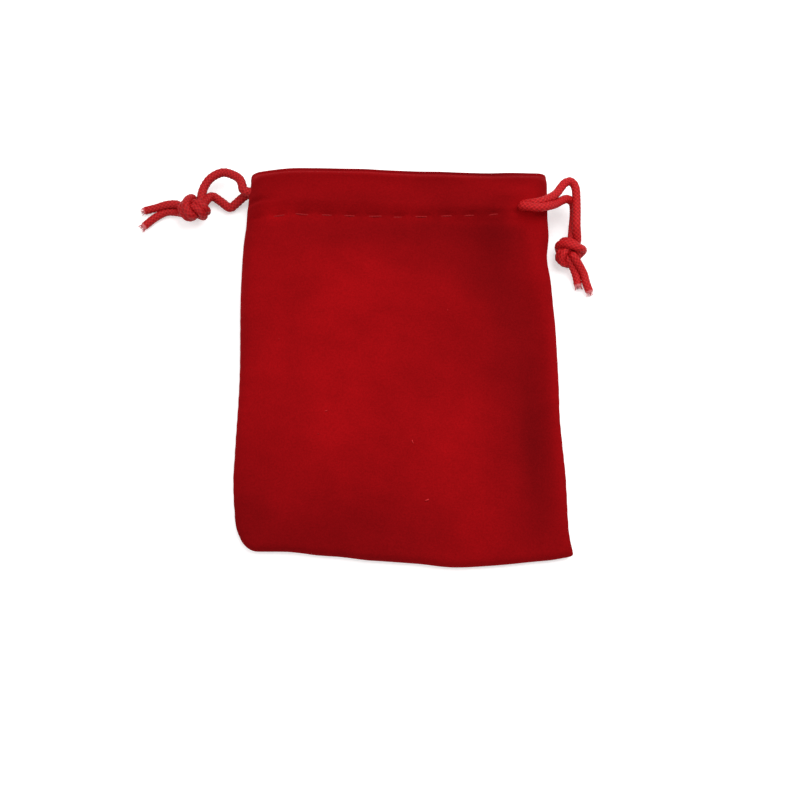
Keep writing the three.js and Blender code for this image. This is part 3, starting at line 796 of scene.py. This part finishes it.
def make_lint():
    """Stray fibres caught in the pile."""
    draw = np.random.default_rng(11)
    tubes = []
    for across, up, reach, girth in LINT_PLACES:
        d = up * BAG_LENGTH
        heading = draw.uniform(0, math.pi)
        bend = draw.uniform(-0.25, 0.25)
        path = []
        for t in np.linspace(-1, 1, 7):
            dx = reach * (t * math.cos(heading) - bend * t * t * math.sin(heading))
            dy = reach * (t * math.sin(heading) + bend * t * t * math.cos(heading))
            point = face_point(plan_x(across, d) + dx, d + dy, True)
            path.append(point + np.array([0, 0, 0.07 + 0.08 * (1 - t * t)]))
        tubes.append(tube(np.array(path), girth, 6))
    return join_tubes("lint_fibres", tubes, LINT)


# Drawstrings

def tie_knot():
    """Pulls a doubled overhand knot tight, in cord diameters. Strands run from -X to +X."""
    count = TIE_POINTS
    t = np.linspace(-2.25, 2.25, 3000)
    loose = np.stack([2.6 * (t**3 - 3 * t), 2 * (t**4 - 4 * t**2), 0.3 * (t**5 - 10 * t)], 1)
    loose = evenly(loose, count)
    beside = 0.45 * unit_rows(np.cross([0, 0, 1.0], np.gradient(loose, axis=0)))
    p = np.concatenate([loose - beside, loose + beside])
    strand, place = np.repeat([0, 1], count), np.tile(np.arange(count), 2)
    same = strand[:, None] == strand[None, :]
    apart = np.abs(place[:, None] - place[None, :])
    least = np.where(~same & (apart < 12), TIE_TWIN, 1.0)
    start = np.linalg.norm(np.diff(loose, axis=0), axis=1).mean()
    pairs = [np.concatenate([np.arange(a, count - 1, 2), count + np.arange(a, count - 1, 2)]) for a in (0, 1)]
    ends = [
        (0, -1, -TIE_LEAD), (count - 1, 1, -TIE_LEAD),
        (count, -1, TIE_LEAD), (2 * count - 1, 1, TIE_LEAD),
    ]
    for step in range(TIE_ROUNDS):
        rest = lerp(start, TIE_SPACING, min(1, step / (0.75 * TIE_ROUNDS)))
        neighbours = same & (apart < math.ceil(1.7 / rest))
        for i, way, lane in ends:
            p[i] += (TIE_PULL * way, TIE_SETTLE * (lane - p[i, 1]), -TIE_SETTLE * p[i, 2])
        for _ in range(6):
            for i in pairs:
                gap = p[i + 1] - p[i]
                move = 0.5 * (1 - rest / np.linalg.norm(gap, axis=1, keepdims=True)) * gap
                p[i] += move
                p[i + 1] -= move
        for q in (p[:count], p[count:]):
            q[2:-2] += TIE_STIFFNESS * (-q[:-4] + 4 * q[1:-3] - 6 * q[2:-2] + 4 * q[3:-1] - q[4:])
        for _ in range(2):
            offset = p[:, None] - p[None, :]
            distance = np.sqrt((offset**2).sum(-1) + 1e-9)
            hit = (distance < least) & ~neighbours
            push = np.where(hit, (least - distance) / distance, 0)[:, :, None] * offset
            p += 0.5 * push.sum(1) / np.sqrt(np.maximum(hit.sum(1, keepdims=True), 1))
    return p.reshape(2, count, 3)


def place_knot(tied, exit_point, centre, heading, tilt, unit):
    """Sets the tied knot on the table, turned to a heading, and returns its two strands."""
    inside = np.abs(tied[..., 0]) < KNOT_REACH
    p = tied - np.array([0, KNOT_MIDDLE, 0])
    roll = math.radians(tilt)
    p = np.stack([
        p[..., 0] * KNOT_PRESS,
        p[..., 1] * math.cos(roll) - p[..., 2] * math.sin(roll),
        p[..., 1] * math.sin(roll) + p[..., 2] * math.cos(roll),
    ], -1) * unit
    turn = math.radians(heading)
    x = p[..., 0] * math.cos(turn) - p[..., 1] * math.sin(turn)
    y = p[..., 0] * math.sin(turn) + p[..., 1] * math.cos(turn)
    z = p[..., 2] - p[..., 2][inside].min() + KNOT_GIRTH * unit + KNOT_REST
    placed = np.stack([x + exit_point[0] + centre[0], y + exit_point[1] + centre[1], z], -1)
    return [strand[keep][::4] for strand, keep in zip(placed, inside)]


def on_table(exit_point, points):
    """Route points given as offsets from an exit, with heights above the table."""
    return np.array([(exit_point[0] + x, exit_point[1] + y, z) for x, y, z in points])


def from_exit(exit_point, points):
    """Route points given as offsets from an exit in all three directions."""
    return np.array(points) + exit_point


LANE_PLACES = ring_places(LANE_COLUMNS, LANE_COLUMNS)
left_row, right_row = STITCH_ROW + LEFT_LANE, STITCH_ROW + RIGHT_LANE
left_exit = outer_point(-1, left_row, True)
right_width = right_x(right_row) - left_x(right_row)
right_exit = outer_point(1 - 2 * RIGHT_EXIT_INSET / right_width, right_row, True)


def lane(row):
    """One lap inside the casing, in the middle of its wall."""
    return buried_ring(row, wall(row) / 2, LANE_PLACES)


def left_route(knot):
    """Left drawstring from its upper tail to its lower one."""
    lap = lane(left_row)
    lap = lap[1:][lap[1:, 0] > left_exit[0] + 1.3 * CASING_WALL][::-1]
    lower, upper = knot
    return [
        on_table(left_exit, LEFT_TAIL_UPPER[::-1]), upper, on_table(left_exit, LEFT_UPPER),
        from_exit(left_exit, SLIT_FRONT), lap, from_exit(left_exit, SLIT_BACK),
        on_table(left_exit, LEFT_LOWER), lower[::-1], on_table(left_exit, LEFT_TAIL_LOWER),
    ]


def right_route(knot):
    """Right drawstring from its outer tail to its inner one."""
    lap = lane(right_row)
    back, front = lap[:LANE_COLUMNS + 1], lap[LANE_COLUMNS + 1:]
    inner, outer = knot
    return [
        on_table(right_exit, RIGHT_TAIL_OUTER[::-1]), outer[::-1], on_table(right_exit, RIGHT_FRONT),
        from_exit(right_exit, SLIT_CLIMB), front[front[:, 0] < right_exit[0] - 3 * CORD_DIAMETER], back,
        front[front[:, 0] > right_exit[0] + 1.8 * CORD_DIAMETER], from_exit(right_exit, SLIT_TURN),
        on_table(right_exit, RIGHT_BACK), inner, on_table(right_exit, RIGHT_TAIL_INNER),
    ]


def braid(angle, run):
    """Height of a twelve-strand braid: 1 on a strand's crown, 0 in a gap."""
    lay = 2 * math.pi / BRAID_LAY
    a, b = BRAID_STRANDS * (angle + lay * run), BRAID_STRANDS * (angle - lay * run)
    over = np.cos(a / 2) * np.cos(b / 2)
    right_hand = (0.5 + 0.5 * np.cos(a)) * (0.72 + 0.28 * over)
    left_hand = (0.5 + 0.5 * np.cos(b)) * (0.72 - 0.28 * over)
    return np.maximum(right_hand, left_hand)


def fray(end, outward, draw):
    """Loose filaments that stand out of a cut end, as thin tubes."""
    side = np.cross(outward, [0, 0, 1.0])
    side /= np.linalg.norm(side)
    upward = np.cross(side, outward)
    t = np.linspace(-FRAY_ROOT, 1, 6)[:, None]
    tubes = []
    for _ in range(FRAY_COUNT):
        turn = draw.uniform(0, 2 * math.pi)
        rim = FRAY_SPREAD * math.sqrt(draw.uniform())
        reach = draw.uniform(*FRAY_REACH)
        splay = draw.uniform(0, FRAY_SPLAY) * reach * rim
        radial = side * math.cos(turn) + upward * math.sin(turn)
        away = rim * CORD_RADIUS + splay * np.maximum(t, 0) ** 2
        path = end + outward * (reach * t - FRAY_SINK) + radial * away
        path[:, 2] = np.maximum(path[:, 2], FRAY_RADIUS)
        tubes.append(tube(path, FRAY_RADIUS, 5))
    return tubes


def in_casing(p):
    """Which points of a route the cloth hides."""
    x, z = p[:, 0], p[:, 2]
    between_exits = (x > left_exit[0] + 2) & (x < right_exit[0] - 4)
    under_right_exit = (z < right_exit[2] - 2.4) & (x > 0) & (x < right_exit[0] + 6)
    return between_exits | under_right_exit


def make_cord(name, route, squeezed, slack, material):
    """Braided tube along a route in millimetres, with frayed ends."""
    dense = smooth_curve(np.concatenate(route), 16)
    run = np.concatenate([[0], np.cumsum(np.linalg.norm(np.diff(dense, axis=0), axis=1))])
    pace = np.where(in_casing(dense), HIDDEN_STEP, SHOWN_STEP)
    count = np.concatenate([[0], np.cumsum(np.diff(run) / pace[1:])])
    places = np.interp(np.linspace(0, count[-1], int(count[-1]) + 1), count, run)
    path = np.stack([np.interp(places, run, dense[:, k]) for k in range(3)], 1)
    tangent = unit_rows(np.gradient(path, axis=0))
    normal = np.zeros_like(path)
    normal[0] = np.cross(tangent[0], [0, 0, 1.0])
    for i in range(1, len(path)):
        carried = normal[i - 1] - tangent[i] * (normal[i - 1] @ tangent[i])
        normal[i] = carried / np.linalg.norm(carried)
    normal[0] /= np.linalg.norm(normal[0])
    height = braid(corner_angles(CORD_SIDES)[None, :], places[:, None])
    from_end = np.minimum(places, places[-1] - places)
    tip = TIP_SHARE + (1 - TIP_SHARE) * round_over(from_end, TIP_ROUNDING)
    swell = 1 + slack * smoothstep(from_end, SLACK_START, SLACK_FULL)
    radius = (squeezed(path)[:, None] - BRAID_DEPTH * (1 - height)) * (tip * swell)[:, None]
    draw = np.random.default_rng(23)
    tubes = [capped_tube(path, normal, np.cross(tangent, normal), radius)]
    tubes += fray(path[0], -tangent[0], draw) + fray(path[-1], tangent[-1], draw)
    obj = join_tubes(name, tubes, material)
    loose = len(obj.data.vertices) - height.size
    groove = obj.data.attributes.new("groove", "FLOAT", "POINT")
    groove.data.foreach_set("value", np.append(1 - height, np.zeros(loose)))
    frayed = obj.data.attributes.new("frayed", "FLOAT", "POINT")
    pale = np.repeat(1 - smoothstep(from_end, PALE_FULL, PALE_END), CORD_SIDES)
    frayed.data.foreach_set("value", np.append(pale, np.ones(loose)))
    return obj, path, places[-1]


tied = tie_knot()
bag = make_bag()
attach(bag, "root")
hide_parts("pouch_body")
stitches = make_stitches()
lint = make_lint()
for piece in (stitches, lint):
    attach(piece, "root")


def add_cord(name, route, knot_centre, knot_unit, nodes, slack, material):
    """One drawstring, thinner in its knot, and what it stands for."""
    def squeezed(p):
        away = np.linalg.norm(p[:, :2] - knot_centre, axis=1)
        return lerp(KNOT_GIRTH * knot_unit, CORD_RADIUS, smoothstep(away, KNOT_INNER, KNOT_OUTER))
    obj, path, length = make_cord(name, route, squeezed, slack, material)
    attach(obj, "root")
    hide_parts(*nodes)


left_knot = place_knot(tied, left_exit, LEFT_KNOT, LEFT_KNOT_HEADING, LEFT_KNOT_TILT, LEFT_KNOT_UNIT)
right_knot = place_knot(
    tied, right_exit, RIGHT_KNOT, RIGHT_KNOT_HEADING, RIGHT_KNOT_TILT, RIGHT_KNOT_UNIT,
)
add_cord(
    "left_cord", left_route(left_knot), left_exit[:2] + LEFT_KNOT, LEFT_KNOT_UNIT,
    ["left_drawstring", "left_knot", "left_tail_upper", "left_tail_lower"], LEFT_SLACK, LEFT_BRAID,
)
add_cord(
    "right_cord", right_route(right_knot), right_exit[:2] + RIGHT_KNOT, RIGHT_KNOT_UNIT,
    ["right_drawstring", "right_knot", "right_tail_inner", "right_tail_outer"], RIGHT_SLACK, RIGHT_BRAID,
)


# Table, light and camera

def make_floor():
    """White table that shows its own glow to the camera and to reflections, and keeps the shadow."""
    material, tree, shader = new_material("white_table", (0.8, 0.8, 0.8), 0.8)
    shader.inputs["Specular IOR Level"].default_value = 0.1
    path_kind = tree.nodes.new("ShaderNodeLightPath")
    emit = add_node(tree, "ShaderNodeEmission", Strength=TABLE_GLOW)
    total = tree.nodes.new("ShaderNodeAddShader")
    pick = tree.nodes.new("ShaderNodeMixShader")
    output = tree.nodes["Material Output"]
    seen = add_node(tree, "ShaderNodeMath", operation="MAXIMUM")
    seen_too = add_node(tree, "ShaderNodeMath", operation="MAXIMUM")
    tree.links.new(path_kind.outputs["Is Camera Ray"], seen.inputs[0])
    tree.links.new(path_kind.outputs["Is Glossy Ray"], seen.inputs[1])
    tree.links.new(seen.outputs[0], seen_too.inputs[0])
    tree.links.new(path_kind.outputs["Is Transmission Ray"], seen_too.inputs[1])
    tree.links.new(shader.outputs[0], total.inputs[0])
    tree.links.new(emit.outputs[0], total.inputs[1])
    tree.links.new(seen_too.outputs[0], pick.inputs[0])
    tree.links.new(shader.outputs[0], pick.inputs[1])
    tree.links.new(total.outputs[0], pick.inputs[2])
    tree.links.new(pick.outputs[0], output.inputs["Surface"])
    corners = [(-1, -1), (1, -1), (1, 1), (-1, 1)]
    vertices = [(x * TABLE_HALF, y * TABLE_HALF, TABLE_LEVEL) for x, y in corners]
    floor = make_object("table", vertices, [(0, 1, 2, 3)], [material])


def make_world():
    """Even white light all round, and plain white behind the table."""
    world = bpy.data.worlds.new("studio")
    world.use_nodes = True
    tree = world.node_tree
    background = tree.nodes["Background"]
    background.inputs["Color"].default_value = (1, 1, 1, 1)
    background.inputs["Strength"].default_value = SKY_LIGHT
    bright = add_node(tree, "ShaderNodeBackground", Strength=1.0)
    bright.inputs["Color"].default_value = (1, 1, 1, 1)
    path_kind = tree.nodes.new("ShaderNodeLightPath")
    pick = tree.nodes.new("ShaderNodeMixShader")
    tree.links.new(path_kind.outputs["Is Camera Ray"], pick.inputs[0])
    tree.links.new(background.outputs[0], pick.inputs[1])
    tree.links.new(bright.outputs[0], pick.inputs[2])
    tree.links.new(pick.outputs[0], tree.nodes["World Output"].inputs["Surface"])
    bpy.context.scene.world = world


def add_light(name, place, size, power):
    """Round soft lamp, aimed at the origin."""
    light = bpy.data.lights.new(name, "AREA")
    light.shape = "DISK"
    light.size = size
    light.energy = power
    obj = bpy.data.objects.new(name, light)
    obj.location = place
    direction = -obj.location
    obj.rotation_euler = direction.to_track_quat("-Z", "Y").to_euler()
    bpy.context.scene.collection.objects.link(obj)


def add_camera():
    """Camera above the near side, looking down at the target."""
    elevation, distance = math.radians(CAMERA_ELEVATION), CAMERA_DISTANCE * MM
    target = np.array(CAMERA_TARGET) * MM
    camera = bpy.data.cameras.new("camera")
    camera.lens = SENSOR_WIDTH * FOCAL_PIXELS / FRAME_PIXELS
    camera.sensor_width = SENSOR_WIDTH
    camera.clip_start = 0.005
    obj = bpy.data.objects.new("camera", camera)
    obj.location = target + distance * np.array([0, -math.cos(elevation), math.sin(elevation)])
    obj.rotation_euler = (math.pi / 2 - elevation, 0, 0)
    bpy.context.scene.collection.objects.link(obj)
    bpy.context.scene.camera = obj


make_floor()
make_world()
add_light(*KEY_LAMP)
add_light(*FILL_LAMP)
add_camera()
bpy.context.scene.view_settings.view_transform = "Standard"
